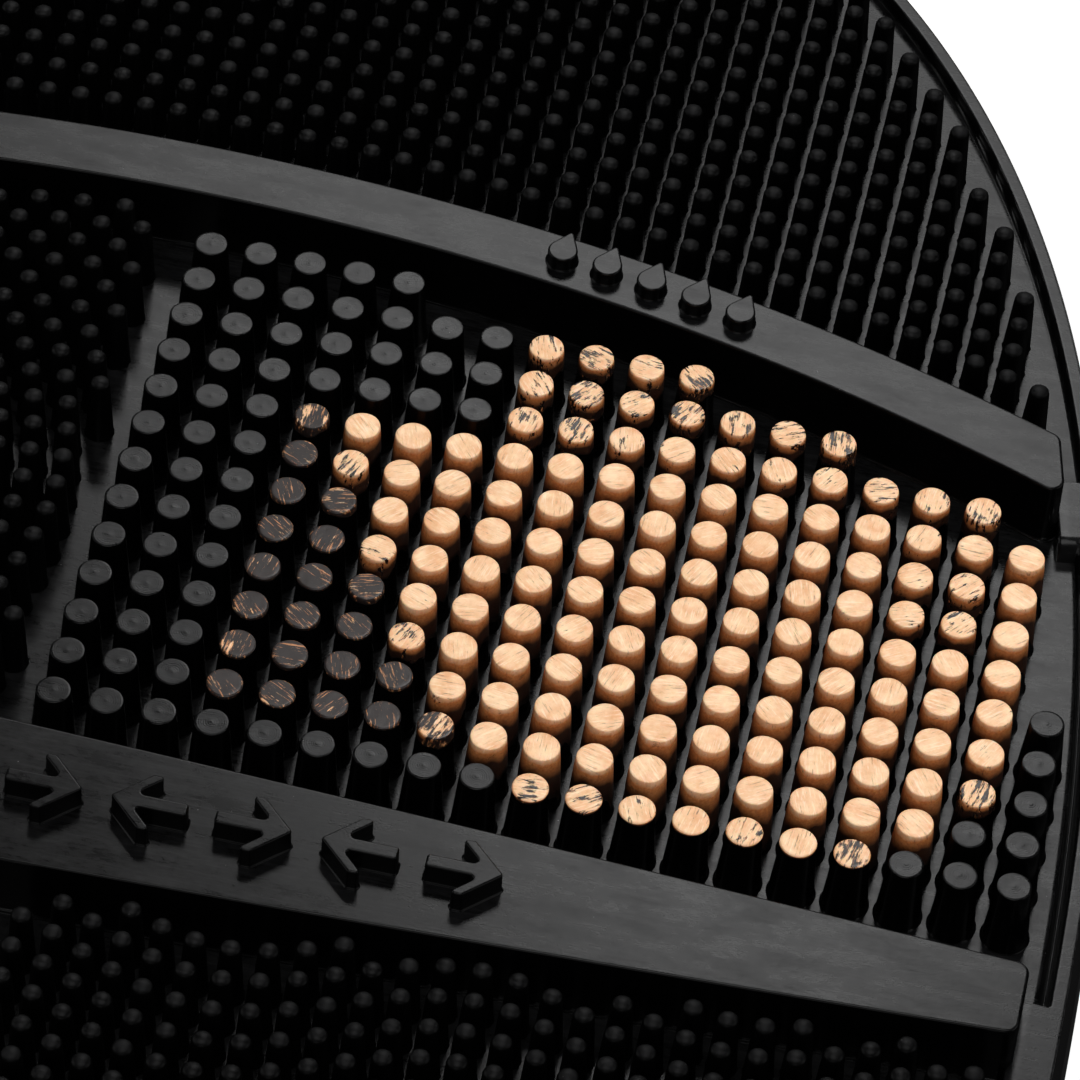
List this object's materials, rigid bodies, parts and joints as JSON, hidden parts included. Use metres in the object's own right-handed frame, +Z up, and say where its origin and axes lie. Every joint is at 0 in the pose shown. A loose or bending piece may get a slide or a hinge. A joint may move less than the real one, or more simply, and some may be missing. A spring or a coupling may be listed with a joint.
{
  "type": "brush cleaner",
  "caption": "Oval silicone washing pad for cosmetic brushes, with fields of raised pins between raised bands, resting in a shallow tray on soft feet.",
  "frame": {"origin": "centre of the oval footprint, on the surface that the feet stand on", "axes": "+X along the rows of large pins across the width, +Y along the length of the oval, +Z up"},
  "size_m": [0.1346, 0.2136, 0.0125],
  "materials": {
    "silicone": "satin black moulded silicone, with faint dust and fine scratches on its flat tops",
    "tray_plastic": "fine satin black injection moulded plastic",
    "foot_rubber": "dull dark grey non-slip rubber",
    "residue": "dried beige cosmetic film that the washed brush has left on the pins"
  },
  "bodies": {
    "tray": {"tray_shell": "tray_plastic", "foot_1": "foot_rubber", "foot_2": "foot_rubber", "foot_3": "foot_rubber", "foot_4": "foot_rubber", "foot_5": "foot_rubber", "foot_6": "foot_rubber"},
    "pad": {"pad_base": "silicone", "centre_band": "silicone", "upper_arc_band": "silicone", "lower_arc_band": "silicone", "large_pins_right": "silicone", "large_pins_left": "silicone", "ring_pins_left": "silicone", "wave_pins_right": "silicone", "cap_pins_upper": "silicone", "cap_pins_lower": "silicone"}
  },
  "joints": [
    {"name": "pad_lift", "type": "slide", "parent": "tray", "child": "pad", "axis": [0, 0, 1], "range_m": [0, 0.03]}
  ]
}
